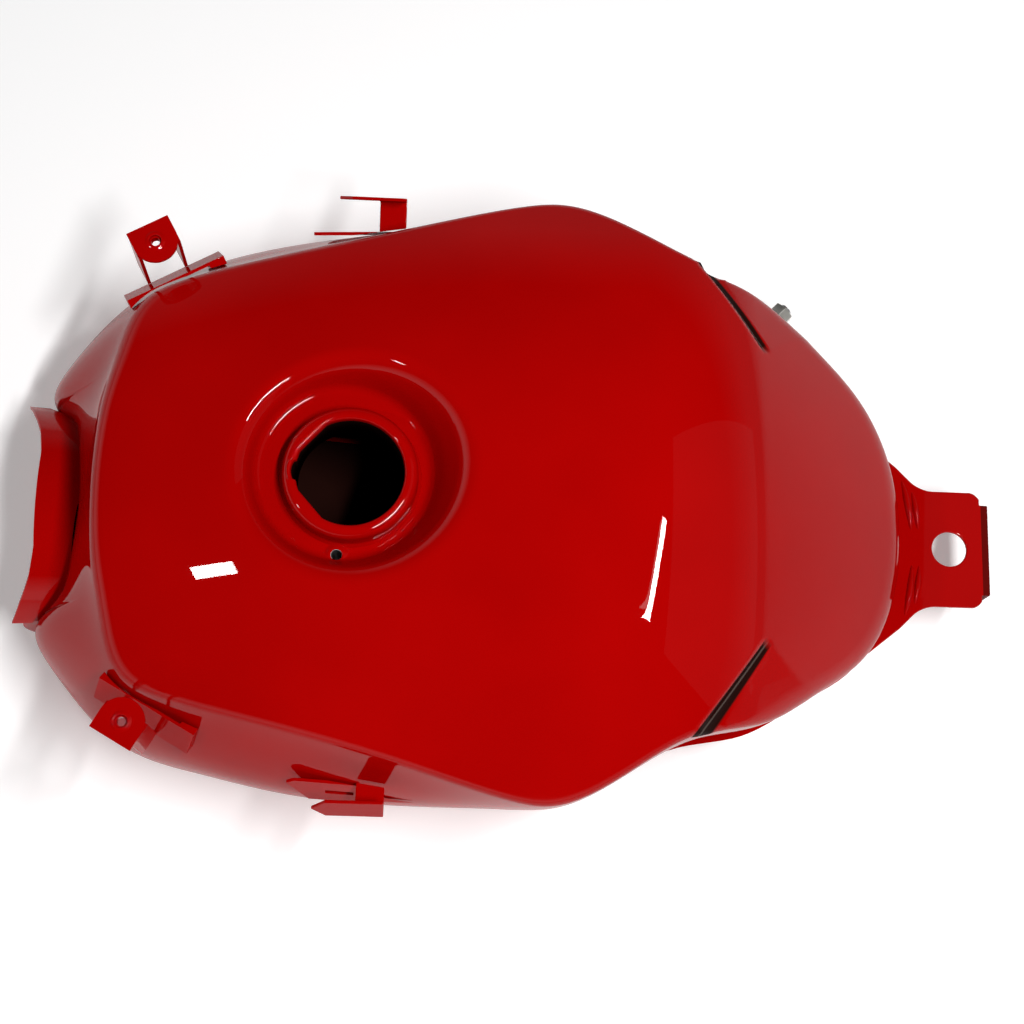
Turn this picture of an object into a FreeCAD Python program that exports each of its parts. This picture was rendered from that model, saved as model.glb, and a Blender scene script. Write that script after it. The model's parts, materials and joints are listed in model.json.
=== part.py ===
import FreeCAD, Part
import math
import os
import re

import Sketcher
from FreeCAD import Placement, Rotation, Vector

# A pressed-steel motorcycle fuel tank. +X points to the front of the motorcycle, +Y to the
# rider's left, +Z up. The origin is under the middle of the tank, on the plane it stands on.

doc = FreeCAD.newDocument("fuel_tank")
sheet = doc.addObject("Spreadsheet::Sheet", "Sizes")

# Every driving dimension, in millimetres or degrees.
SIZES = [
    # pressed shells
    ("sheet_metal", 1.2, "thickness of both pressed shells"),
    ("seam_lip", 5, "width of the welded lip round the bottom"),
    ("ridge_top", 230, "height of the highest point of the top"),
    ("crest_x", -65, "place of the highest point along the tank"),
    ("front_sweep", 906, "radius of the top's profile ahead of the crest"),
    ("tail_sweep", 100, "radius of the top's profile behind the crest"),
    ("tail_slope", 43.5, "steepness of the tail, in degrees"),
    ("crown_radius", 300, "radius of the top's cross-section"),
    ("shelf_height", 66, "height of the raised rear bottom"),
    ("ramp_front", -28, "where the bottom starts to rise"),
    ("ramp_rear", -72, "where the rear bottom is level again"),
    # tunnel over the frame's backbone
    ("tunnel_front_half", 66, "half width at the front"),
    ("tunnel_front_top", 115, "height at the front"),
    ("tunnel_rear_half", 38, "half width at the rear"),
    ("tunnel_rear_top", 79, "height at the rear"),
    # lip round the front of the tunnel
    ("arch_metal", 1.5, "thickness of the arch lip"),
    ("arch_front_x", 283, "front edge of the arch lip at its top"),
    ("arch_tip_z", 71, "height of the lip's two tips"),
    # filler recess and neck
    ("neck_x", 97, "filler neck's place along the tank"),
    ("recess_floor_z", 188, "height of the recess floor"),
    ("recess_floor_radius", 49, "radius of the recess at its floor"),
    ("recess_rim_radius", 70, "radius of the recess at the top"),
    ("neck_outer_radius", 37.5, "outer radius of the filler neck"),
    ("neck_hole_radius", 30, "radius of the filler hole"),
    ("neck_top_z", 204, "height of the filler neck's rim"),
    ("neck_bottom_z", 172, "lower end of the filler tube"),
    # knee grooves behind the widest point
    ("groove_wide", 8, "radius of a groove at its outer end"),
    ("groove_narrow", 3.5, "radius of a groove at its inner end"),
    # rear mount bracket
    ("rear_plate", 3, "thickness of the rear mount bracket"),
    ("rear_hole_x", -275, "place of the rear mount hole"),
    ("rear_hole_radius", 11, "radius of the rear mount hole"),
    ("rear_tab_half", 37, "half width of the rear tab"),
    ("rear_tab_end", -295, "rear edge of the tab"),
    ("rear_lip_half", 29, "half width of the folded lip"),
    ("rear_lip_drop", 16, "height of the folded lip"),
    ("rear_lip_reach", 5.2, "overhang of the folded lip past the tab"),
    # side brackets
    ("bracket_metal", 2, "thickness of the side brackets"),
    ("cowl_hole_radius", 2.5, "tapping radius of the cowl nuts' thread"),
    ("cowl_plate_z", 181, "height of the cowl bracket's upper face"),
    ("cowl_plate_half", 13, "half width of the cowl bracket's plate"),
    ("cowl_strap_length", 62, "length of the cowl strap"),
    ("cowl_strap_height", 19, "height of the cowl strap, up its slope"),
    ("cowl_leg_drop", 40, "height of the cowl bracket's legs"),
    ("cowl_nut_radius", 5.5, "outer radius of the round weld nut"),
    ("cowl_nut_height", 5, "height of the round weld nut"),
    ("hook_blade_width", 16, "width of the hook bracket's blade"),
    # guides on the frame's rubber buffers
    ("guide_metal", 2, "thickness of the front guides"),
    ("guide_opening", 24, "clear height of a guide"),
    ("guide_length", 44, "length of a guide"),
    ("guide_depth", 15, "depth of a guide"),
    # recess drain and breather
    ("drain_outer", 4, "outer radius of the drain tube"),
    ("drain_bore", 3, "bore radius of the drain tube"),
    ("drain_x", 103, "place of the drain along the tank"),
    ("drain_y", 44, "place of the drain across the tank"),
    ("breather_outer", 3, "outer radius of the breather tube"),
    ("breather_bore", 2, "bore radius of the breather tube"),
    ("breather_x", 10, "place of the breather along the tank"),
    ("breather_y", -36, "place of the breather across the tank"),
    ("breather_top", 215, "height of the breather's open end"),
    # fuel tap
    ("tap_x", -112, "place of the fuel tap along the tank"),
    ("tap_y", -94, "place of the fuel tap across the tank"),
    ("tap_turn", 226, "direction of the tap's outlet, in degrees from +X"),
    ("tap_flange", 5, "thickness of the tap's flange"),
    ("tap_screw_pitch", 19.5, "distance of each flange screw from the tap's middle"),
    ("tap_bore", 7, "radius of the tap's inlet"),
    ("tap_gasket", 1.5, "thickness of the tap gasket"),
    ("tap_boss", 4, "thickness of the welded tap seat"),
    ("tap_body_radius", 13, "radius of the tap body"),
    ("tap_body_height", 27, "height of the tap body under its flange"),
    ("lever_drop", 18, "depth of the lever's axis under the flange"),
    ("lever_hub", 10.5, "radius of the tap lever's hub"),
    ("outlet_outer", 4, "outer radius of the outlet pipe"),
    ("outlet_bore", 2.75, "bore radius of the outlet pipe"),
    ("outlet_length", 80, "length of the outlet pipe outside the tap"),
    ("union_flats", 13, "width across the flats of the union nut"),
    ("union_length", 16, "length of the union nut"),
    # level sender
    ("sender_x", -125, "place of the level sender along the tank"),
    ("sender_y", 78, "place of the level sender across the tank"),
    ("sender_radius", 28, "outer radius of the sender's plate"),
    ("sender_opening", 19, "radius of the sender's opening"),
    ("sender_stud_circle", 23.5, "radius of the circle of studs"),
    ("sender_seat", 3, "thickness of the sender's welded seat"),
    ("sender_gasket", 1.5, "thickness of the sender gasket"),
    ("sender_plate", 2, "thickness of the sender's plate"),
    ("pivot_z", 100, "height of the float arm's pivot"),
    ("pivot_forward", 14, "distance of the pivot ahead of the sender's middle"),
    ("arm_reach", 100, "reach of the float arm at rest, along the tank"),
    ("arm_drop", 72, "drop of the float arm at rest"),
    ("arm_wire", 1.5, "radius of the float arm's wire"),
    ("float_radius", 11, "radius of the float"),
    ("float_length", 40, "length of the float"),
]

for row, (alias, number, meaning) in enumerate(SIZES, start=1):
    sheet.set(f"A{row}", meaning)
    sheet.set(f"B{row}", str(number))
    sheet.setAlias(f"B{row}", alias)
doc.recompute()

ALIASES = {alias for alias, number, meaning in SIZES}
NODES = []


def with_prefix(word):
    """Return a matched word, with the spreadsheet's prefix if it is a dimension."""
    return "Sizes." + word[0] if word[0] in ALIASES else word[0]


def bound(formula):
    """Give every dimension named in a formula its spreadsheet prefix."""
    return re.sub(r"[a-z][a-z_]*", with_prefix, str(formula))


def size(formula):
    """Return the value of a formula of spreadsheet dimensions."""
    return float(sheet.evalExpression(bound(formula)))


def place(x, y, z, axis=Vector(0, 0, 1), angle=0):
    """Return a placement at a point given by formulas, turned about an axis."""
    return Placement(Vector(size(x), size(y), size(z)), Rotation(axis, angle))


def solid(kind, name, where, **sizes):
    """Add a Part primitive whose sizes are bound to spreadsheet formulas."""
    shape = doc.addObject(kind, name)
    for prop, formula in sizes.items():
        shape.setExpression(prop, bound(formula))
    shape.Placement = where
    return shape


def cylinder(name, where, radius, height):
    """Add a cylinder."""
    return solid("Part::Cylinder", name, where, Radius=radius, Height=height)


def box(name, where, length, width, height):
    """Add a box."""
    return solid("Part::Box", name, where, Length=length, Width=width, Height=height)


def prism(name, where, radius, height):
    """Add a hexagonal prism with the given corner radius."""
    return solid("Part::Prism", name, where, Circumradius=radius, Height=height)


def fused(name, *shapes):
    """Join shapes into one."""
    result = doc.addObject("Part::MultiFuse", name)
    result.Shapes = list(shapes)
    return result


def cut(name, base, tool):
    """Cut a tool out of a shape."""
    result = doc.addObject("Part::Cut", name)
    result.Base = base
    result.Tool = tool
    return result


def feature(name, shape):
    """Add a shape worked out with Part's own functions."""
    result = doc.addObject("Part::Feature", name)
    result.Shape = shape
    return result


def node(name, shape):
    """Give a finished sub-part its node name."""
    shape.Label = name
    NODES.append(shape)
    return shape


def sketch_on(body, role, offset=0):
    """Attach a new sketch to one of a body's own origin planes."""
    sketch = body.newObject("Sketcher::SketchObject", body.Name + "_sketch")
    plane = next(item for item in body.Origin.OriginFeatures if item.Role == role)
    sketch.AttachmentSupport = [(plane, "")]
    sketch.MapMode = "FlatFace"
    sketch.AttachmentOffset = Placement(Vector(0, 0, size(offset)), Rotation())
    return sketch


def pin(sketch, line, end, x, y):
    """Fix a sketch point at spreadsheet formulas."""
    for kind, formula in (("DistanceX", x), ("DistanceY", y)):
        index = sketch.addConstraint(Sketcher.Constraint(kind, -1, 1, line, end, size(formula)))
        sketch.setExpression(f"Constraints[{index}]", bound(formula))


def polygon(sketch, corners):
    """Draw a closed polygon through corners given as formulas."""
    first = sketch.GeometryCount
    spots = [Vector(size(x), size(y), 0) for x, y in corners]
    count = len(spots)
    for index in range(count):
        sketch.addGeometry(Part.LineSegment(spots[index], spots[(index + 1) % count]), False)
    for index, (x, y) in enumerate(corners):
        joint = Sketcher.Constraint("Coincident", first + index, 2, first + (index + 1) % count, 1)
        sketch.addConstraint(joint)
        pin(sketch, first + index, 1, x, y)


def circle(sketch, x, y, radius):
    """Draw a circle with its centre and radius given as formulas."""
    centre = Vector(size(x), size(y), 0)
    index = sketch.addGeometry(Part.Circle(centre, Vector(0, 0, 1), size(radius)), False)
    pin(sketch, index, 3, x, y)
    bound_radius = sketch.addConstraint(Sketcher.Constraint("Radius", index, size(radius)))
    sketch.setExpression(f"Constraints[{bound_radius}]", bound(radius))


def body_of(name):
    """Add an empty PartDesign body."""
    return doc.addObject("PartDesign::Body", name)


def pad(body, sketch, length, reverse=False):
    """Pad a sketch by a formula."""
    result = body.newObject("PartDesign::Pad", body.Name + "_pad")
    result.Profile = sketch
    result.setExpression("Length", bound(length))
    result.Reversed = reverse
    return result


def turned_ring(name, profile, where=Placement()):
    """Revolve a half profile, given as radius and height formulas, about the vertical axis."""
    body = body_of(name)
    sketch = sketch_on(body, "XZ_Plane")
    polygon(sketch, profile)
    ring = body.newObject("PartDesign::Revolution", name + "_revolution")
    ring.Profile = sketch
    ring.ReferenceAxis = (sketch, ["V_Axis"])
    ring.Angle = 360
    body.Placement = where
    return body


# Half outlines of the wall, from the middle of the front to the middle of the rear, for the
# heights given. The wall flares to its widest near 115 and draws in to the bottom seam.
OUTLINES = {
    0: [(240, 0), (243, 35), (248, 54), (262, 66), (256, 88), (240, 107), (216, 121),
        (172, 137), (116, 145), (60, 146), (5, 143), (-22, 139), (-42, 134),
        (-100, 112), (-141, 106), (-174, 89), (-201, 71), (-216, 42), (-223, 0)],
    75: [(263, 0), (264, 35), (268, 54), (286, 67), (277, 91), (260, 112), (237, 135),
         (183, 155), (121, 166), (60, 168), (5, 166.5), (-22, 163.5), (-42, 157),
         (-100, 127), (-141, 118), (-177, 97), (-208, 76), (-226, 45), (-233, 0)],
    115: [(258, 0), (260, 35), (262, 54), (267, 67), (261, 90), (247, 111), (228, 129),
          (182, 152), (121, 167), (60, 173), (5, 174), (-22, 172.5), (-41, 165.5),
          (-100, 131.5), (-141, 122.5), (-177, 101.5), (-208, 80), (-229, 46.5), (-237, 0)],
    175: [(242, 0), (240, 35), (237, 52), (232, 70), (224, 95), (214, 111), (200, 118),
          (160, 130), (110, 144), (55, 159), (0, 174), (-22, 176), (-40, 170),
          (-100, 135.5), (-141, 125), (-177, 103.5), (-208, 81.5), (-229, 48), (-238, 0)],
}
# height to which the wall's loft runs, and how far it has leaned in by then
TOP_OF_WALL = 240
WALL_LEAN = 5
# rise of the tunnel's roof as a share of its half width
TUNNEL_RISE = 0.67
# the inside of the top is lowered by this share of the metal, because the top slopes
DOME_SLOPE_ALLOWANCE = 1.25
# ends of the left knee groove as seen from above, and the number of cones along it
GROOVE_START = (-94, 143)
GROOVE_END = (-136, 84)
GROOVE_STEPS = 3
# half outline of the rear bracket, as formulas
REAR_FAN = [("-186", "84"), ("-216", "73"), ("-242", "52"), ("-257", "rear_tab_half"),
            ("rear_tab_end + 4", "rear_tab_half"), ("rear_tab_end", "rear_tab_half - 4")]
# place of the cowl bracket's hole, the direction of the wall beside it, the lower front corner
# of its strap and the strap's slope
COWL_HOLE = (215, 138)
COWL_TURN = 150.6
STRAP_CORNER = (236.8, 118.1, 136)
STRAP_SLOPE = 58
# corner where the hook bracket's arm leaves the wall, and the arm's tilt
HOOK_ROOT = (72, 160, 141)
HOOK_TILT = 22
# the hook bracket's base: its lower front corner, direction, slope and outline
BASE_CORNER = (127.5, 169.1, 121)
BASE_TURN = 177.1
BASE_OUTLINE = [(0, 17.5), (4.5, 20.5), (46.5, 20.5), (50, 14), (71.5, 12), (71.5, 5), (50, 3),
                (39.5, 0), (12.5, 0)]
SIDEWAYS = Vector(1, 0, 0)


def mirrored(half):
    """Close a half outline with its mirror image across the tank's middle plane."""
    return half + [(x, -y) for x, y in reversed(half[1:-1])]


def grown(points, distance):
    """Move each point of a closed outline outwards along its normal."""
    moved = []
    for index, (x, y) in enumerate(points):
        before = points[index - 1]
        after = points[(index + 1) % len(points)]
        along_x = after[0] - before[0]
        along_y = after[1] - before[1]
        length = math.hypot(along_x, along_y)
        moved.append((x + distance * along_y / length, y - distance * along_x / length))
    return moved


def wall_solid(growth):
    """Return the solid inside the tank's wall, grown outwards by a distance."""
    levels = [(height, grown(mirrored(half), growth)) for height, half in OUTLINES.items()]
    levels.append((TOP_OF_WALL, grown(mirrored(OUTLINES[175]), growth - WALL_LEAN)))
    wires = []
    for height, points in levels:
        curve = Part.BSplineCurve()
        curve.interpolate([Vector(x, y, height) for x, y in points], PeriodicFlag=True)
        wires.append(Part.Wire([curve.toShape()]))
    return Part.makeLoft(wires, True, False)


def ridge_height(x):
    """Return the height of the top along the tank's middle plane."""
    behind = size("crest_x") - x
    if behind <= 0:
        return size("ridge_top") - behind ** 2 / (2 * size("front_sweep"))
    sweep = size("tail_sweep")
    slope = math.radians(size("tail_slope"))
    bend = sweep * math.sin(slope)
    if behind <= bend:
        return size("ridge_top") - sweep + math.sqrt(sweep ** 2 - behind ** 2)
    return size("ridge_top") - sweep * (1 - math.cos(slope)) - (behind - bend) * math.tan(slope)


def dome_solid(drop):
    """Return the solid under the tank's top, lowered by a distance."""
    radius = size("crown_radius")
    edge = 200
    sink = radius - math.sqrt(radius ** 2 - edge ** 2)
    wires = []
    for x in (320, 240, 160, 80, 10, -40, -65, -85, -105, -120, -134, -150, -180, -220, -270):
        height = ridge_height(x) - drop
        left = Vector(x, edge, height - sink)
        right = Vector(x, -edge, height - sink)
        crown = Part.Arc(right, Vector(x, 0, height), left)
        sides = Part.makePolygon([left, Vector(x, edge, -30), Vector(x, -edge, -30), right])
        wires.append(Part.Wire([crown.toShape()] + sides.Edges))
    return Part.makeLoft(wires, True, False)


def bottom_solid(growth):
    """Return the solid under the tank's bottom, raised by a distance."""
    low = size("ramp_front")
    high = size("ramp_rear")
    shelf = size("shelf_height")
    shift = growth * math.tan(math.atan2(shelf, low - high) / 2)
    side = [(400, -60), (400, growth), (low + shift, growth), (high + shift, shelf + growth),
            (-400, shelf + growth), (-400, -60), (400, -60)]
    face = Part.Face(Part.makePolygon([Vector(x, -300, z) for x, z in side]))
    return face.extrude(Vector(0, 600, 0))


def tunnel_solid(growth):
    """Return the solid inside the tunnel, grown outwards by a distance."""
    wires = []
    ends = ((310, size("tunnel_front_half"), size("tunnel_front_top")),
            (-270, size("tunnel_rear_half"), size("tunnel_rear_top")))
    for x, half, top in ends:
        side = half + growth
        shoulder = top - TUNNEL_RISE * half
        left = Vector(x, side, shoulder)
        right = Vector(x, -side, shoulder)
        roof = Part.Arc(right, Vector(x, 0, top + growth), left)
        sides = Part.makePolygon([left, Vector(x, side, -20), Vector(x, -side, -20), right])
        wires.append(Part.Wire([roof.toShape()] + sides.Edges))
    return Part.makeLoft(wires, True, True)


def recess_solid(growth):
    """Return the solid pressed out of the top round the filler neck."""
    floor = size("recess_floor_z") - growth
    height = size("ridge_top") + 10 - floor
    rise = (size("recess_rim_radius") - size("recess_floor_radius")) / (size("ridge_top") - floor)
    bottom_radius = size("recess_floor_radius") + growth
    cone = Part.makeCone(bottom_radius, bottom_radius + rise * height, height)
    cone.translate(Vector(size("neck_x"), 0, floor))
    return cone


def top_height(x, y):
    """Return the height of the tank's top above a point."""
    radius = size("crown_radius")
    return ridge_height(x) - radius + math.sqrt(radius ** 2 - y ** 2)


def groove_solids(growth):
    """Return the two tapered solids that press the knee grooves, which follow the top."""
    solids = []
    for side in (1, -1):
        spots = []
        for step in range(GROOVE_STEPS + 1):
            part = step / GROOVE_STEPS
            x = GROOVE_START[0] + part * (GROOVE_END[0] - GROOVE_START[0])
            y = GROOVE_START[1] + part * (GROOVE_END[1] - GROOVE_START[1])
            radius = size("groove_wide") + part * (size("groove_narrow") - size("groove_wide"))
            spots.append((Vector(x, side * y, top_height(x, y) + radius / 4), radius + growth))
        shape = Part.makeSphere(spots[-1][1], spots[-1][0])
        for (start, wide), (end, narrow) in zip(spots[:-1], spots[1:]):
            run = end - start
            shape = shape.fuse(Part.makeCone(wide, narrow, run.Length, start, run))
            shape = shape.fuse(Part.makeSphere(wide, start))
        solids.append(shape)
    return solids


def hollow(drop):
    """Return the tank's body inside its skin, with recess and grooves, lowered by a distance."""
    shape = wall_solid(-drop).common(dome_solid(drop * DOME_SLOPE_ALLOWANCE))
    for tool in [recess_solid(drop)] + groove_solids(drop):
        shape = shape.cut(tool)
    return shape


metal = size("sheet_metal")
inside_bottom = bottom_solid(metal).fuse(tunnel_solid(metal))
outside_bottom = bottom_solid(0).fuse(tunnel_solid(0))


def top_shell():
    """The painted upper pressing: top, side walls, filler recess and knee grooves."""
    shape = hollow(0).cut(hollow(metal)).cut(inside_bottom)
    neck = Vector(size("neck_x"), 0, 170)
    drain = Vector(size("drain_x"), size("drain_y"), 180)
    shape = shape.cut(Part.makeCylinder(size("neck_hole_radius + 2"), 40, neck))
    shape = shape.cut(Part.makeCylinder(size("drain_outer"), 20, drain))
    node("top_shell", feature("top_shell", shape))


def lower_shell():
    """The lower pressing: bottom, raised rear shelf, tunnel and welded lip."""
    shape = inside_bottom.cut(outside_bottom).common(wall_solid(size("seam_lip")))
    turn = math.radians(size("tap_turn"))
    across = Vector(-math.sin(turn), math.cos(turn), 0)
    tap = Vector(size("tap_x"), size("tap_y"), size("shelf_height") - 5)
    holes = [Part.makeCylinder(size("tap_bore + 0.5"), 20, tap)]
    for side in (1, -1):
        holes.append(Part.makeCylinder(3.3, 20, tap + across * side * size("tap_screw_pitch")))
    sender = Vector(size("sender_x"), size("sender_y"), tap.z)
    drain = Vector(size("drain_x"), size("drain_y"), 60)
    breather = Vector(size("breather_x"), size("breather_y"), 60)
    holes.append(Part.makeCylinder(size("sender_opening"), 20, sender))
    holes.append(Part.makeCylinder(size("drain_outer"), 80, drain))
    holes.append(Part.makeCylinder(size("breather_outer"), 80, breather))
    for hole in holes:
        shape = shape.cut(hole)
    node("lower_shell", feature("lower_shell", shape))


def arch_lip():
    """The lip round the front of the tunnel, which leans forward towards its tips."""
    band = tunnel_solid(metal + size("arch_metal")).cut(tunnel_solid(metal))
    tip = size("arch_tip_z")
    front = size("arch_front_x")
    side = [(200, tip), (front + 17.2, tip), (front + 11, tip + 15), (front + 4, tip + 29),
            (front + 0.5, tip + 39), (front, tip + 80), (200, tip + 80), (200, tip)]
    face = Part.Face(Part.makePolygon([Vector(x, -100, z) for x, z in side]))
    shape = band.common(face.extrude(Vector(0, 200, 0))).cut(wall_solid(0))
    node("front_arch_lip", feature("front_arch_lip", shape))


def filler_neck():
    """The pressed neck ring with its tube and its notch for the cap's latch."""
    inner = "neck_hole_radius"
    outer = "neck_outer_radius"
    skin = "arch_metal"
    top = "neck_top_z"
    profile = [(inner, "neck_bottom_z"), (inner, f"{top} - 1"), (f"{inner} + 1", top),
               (f"{outer} - 1.5", top), (outer, f"{top} - 1.5"), (outer, "recess_floor_z"),
               (f"{outer} - {skin}", "recess_floor_z"), (f"{outer} - {skin}", f"{top} - 2"),
               (f"{inner} + {skin}", f"{top} - 2"), (f"{inner} + {skin}", "neck_bottom_z")]
    ring = turned_ring("neck_ring", profile, place("neck_x", 0, 0))
    notch = box("neck_notch", place(f"neck_x + {inner} - 2", -5, f"{top} - 12"), 4.7, 10, 20)
    node("filler_neck", cut("filler_neck", ring, notch))


def tube(name, where, outer, bore, height):
    """A plain tube standing at a place."""
    wall = cylinder(name + "_outside", where, outer, height)
    hole = cylinder(name + "_bore", where, bore, height)
    return node(name, cut(name, wall, hole))


def inner_tubes():
    """The drain from the recess floor and the breather, which both open in the tunnel."""
    drain = place("drain_x", "drain_y", 78)
    tube("recess_drain_tube", drain, "drain_outer", "drain_bore", "recess_floor_z + 1 - 78")
    breather = place("breather_x", "breather_y", 72)
    tube("breather_tube", breather, "breather_outer", "breather_bore", "breather_top - 72")


def rear_bracket():
    """The fan-shaped rear bracket with its hole and folded lip."""
    body = body_of("rear_fan")
    sketch = sketch_on(body, "XY_Plane")
    mirrored_fan = [(x, f"-({y})") for x, y in reversed(REAR_FAN)]
    polygon(sketch, REAR_FAN + mirrored_fan)
    circle(sketch, "rear_hole_x", "0", "rear_hole_radius")
    pad(body, sketch, "rear_plate")
    body.Placement = place(0, 0, "shelf_height - rear_plate")
    end = "rear_tab_end - rear_lip_reach"
    ledge_place = place(end, "-rear_lip_half", "shelf_height - rear_plate")
    ledge = box("rear_ledge", ledge_place, "rear_lip_reach + 2", "2 * rear_lip_half", "rear_plate")
    lip_place = place(end, "-rear_lip_half", "shelf_height - rear_lip_drop")
    lip = box("rear_lip", lip_place, "rear_plate", "2 * rear_lip_half", "rear_lip_drop")
    node("rear_mount_bracket", fused("rear_mount_bracket", body, ledge, lip))


def both_sides(name, left):
    """Name a left-hand piece and add its mirror image on the right."""
    node(name + "_left", left)
    right = doc.addObject("Part::Mirroring", name + "_right")
    right.Source = left
    right.Normal = Vector(0, 1, 0)
    node(name + "_right", right)


def sloped(corner, turn, slope):
    """Return a placement with x to the rear along the wall and y up the wall's slope."""
    along = Rotation(Vector(0, 0, 1), turn)
    return Placement(Vector(*corner), along.multiply(Rotation(SIDEWAYS, slope)))


def strap_shape():
    """Return the flat strap with the two feet that join it to the wall."""
    length = size("cowl_strap_length")
    height = size("cowl_strap_height")
    skin = size("bracket_metal")
    shape = Part.makeBox(length, height, skin)
    for rear in (0, length - 10):
        shape = shape.fuse(Part.makeBox(10, height, 16, Vector(rear, 0, -16)))
    shape.Placement = sloped(STRAP_CORNER, COWL_TURN, STRAP_SLOPE)
    return shape.cut(wall_solid(0))


def cowl_brackets():
    """The front bracket of each side: a flat strap, a D-shaped plate on two legs and its nut."""
    strap = feature("cowl_strap_left", strap_shape())
    both_sides("cowl_strap", strap)
    x, y = COWL_HOLE
    half = "cowl_plate_half"
    top = "cowl_plate_z"
    skin = "bracket_metal"
    turn = Rotation(Vector(0, 0, 1), COWL_TURN)
    middle = place(x, y, f"{top} - {skin}", Vector(0, 0, 1), COWL_TURN)
    shapes = [solid("Part::Cylinder", "cowl_round", middle, Radius=half, Height=skin, Angle=180)]
    # local x runs to the rear along the wall, local -y points away from the tank
    drop = size("cowl_leg_drop")
    pieces = (("cowl_straight", (-13, -11, 0), f"2 * {half}", 11.5, skin),
              ("cowl_front_leg", (-13, -8, -drop), skin, 14, "cowl_leg_drop"),
              ("cowl_rear_leg", (11, -8, -drop), skin, 14, "cowl_leg_drop"))
    for name, corner, length, width, height in pieces:
        spot = turn.multVec(Vector(corner[0], corner[1], 0))
        spot += Vector(x, y, size(f"{top} - {skin}") + corner[2])
        shapes.append(box(name, Placement(spot, turn), length, width, height))
    hole = cylinder("cowl_hole", place(x, y, f"{top} - 5"), "cowl_hole_radius + 0.8", 10)
    raw = cut("cowl_drilled", fused("cowl_joined", *shapes), hole)
    both_sides("cowl_bracket", cut("cowl_bracket_left", raw, strap))
    under = place(x, y, f"{top} - {skin} - cowl_nut_height")
    nut = cylinder("cowl_nut_outside", under, "cowl_nut_radius", "cowl_nut_height")
    thread = cylinder("cowl_nut_thread", under, "cowl_hole_radius", "cowl_nut_height")
    both_sides("cowl_nut", cut("cowl_nut_left", nut, thread))


def hook_brackets():
    """The rear bracket of each side: a slotted base and an arm with a pointed blade."""
    outline = [Vector(x, y, 0) for x, y in BASE_OUTLINE + BASE_OUTLINE[:1]]
    base = Part.Face(Part.makePolygon(outline)).extrude(Vector(0, 0, size("bracket_metal")))
    base = base.cut(Part.makeBox(16, 3.5, 8, Vector(22, 8.5, -2)))
    base.Placement = sloped(BASE_CORNER, BASE_TURN, 90 - HOOK_TILT)
    welded = feature("hook_base_left", base.cut(wall_solid(0)))
    both_sides("hook_base", welded)
    tilt = Placement(Vector(*HOOK_ROOT), Rotation(SIDEWAYS, HOOK_TILT))
    leg = box("hook_leg", tilt, 16, 25, "bracket_metal")
    body = body_of("hook_blade")
    sketch = sketch_on(body, "XZ_Plane")
    wide = "hook_blade_width"
    polygon(sketch, [("0", "0"), ("32", "0"), ("40", f"{wide} / 2"), ("32", wide), ("0", wide)])
    pad(body, sketch, "bracket_metal")
    body.Placement = tilt.multiply(Placement(Vector(0, 25, 0), Rotation()))
    arm = fused("hook_joined", leg, body)
    limit = feature("hook_limit", wall_solid(0).fuse(base))
    both_sides("hook_arm", cut("hook_arm_left", arm, limit))


def front_guides():
    """The channel on each side of the tunnel, open to the front, for a rubber buffer."""
    slope = (size("tunnel_front_half") - size("tunnel_rear_half")) / 580
    turn = math.degrees(math.atan(slope))
    beside = size("tunnel_rear_half") + slope * 460
    where = place(190, f"{beside} - 0.1 - guide_depth", 25, Vector(0, 0, 1), turn)
    outside = box("guide_outside", where, "guide_length", "guide_depth", "guide_opening + 2 * guide_metal")
    skin = size("guide_metal")
    inner = where.multiply(Placement(Vector(skin, -skin, skin), Rotation()))
    opening = box("guide_inside", inner, "guide_length", "guide_depth", "guide_opening")
    both_sides("front_guide", cut("front_guide_left", outside, opening))


def tap_place(x, y, z, axis=Vector(0, 0, 1), angle=0):
    """Return a placement in the fuel tap's own frame, whose x axis is the outlet."""
    frame = place("tap_x", "tap_y", 0, Vector(0, 0, 1), size("tap_turn"))
    return frame.multiply(place(x, y, z, axis, angle))


def tap_plate(name, bottom, thickness, bore, screw_radius):
    """Return an oval plate with the tap's bore and its two screw holes."""
    pitch = "tap_screw_pitch"
    shapes = [cylinder(name + "_middle", tap_place(0, 0, bottom), "tap_body_radius + 1", thickness)]
    holes = [cylinder(name + "_bore", tap_place(0, 0, bottom), bore, thickness)]
    for number, side in enumerate(("", "-")):
        spot = tap_place(0, f"{side}{pitch}", bottom)
        shapes.append(cylinder(f"{name}_ear{number}", spot, 6.5, thickness))
        holes.append(cylinder(f"{name}_screw_hole{number}", spot, screw_radius, thickness))
    return cut(name, fused(name + "_solid", *shapes), fused(name + "_holes", *holes))


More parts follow.
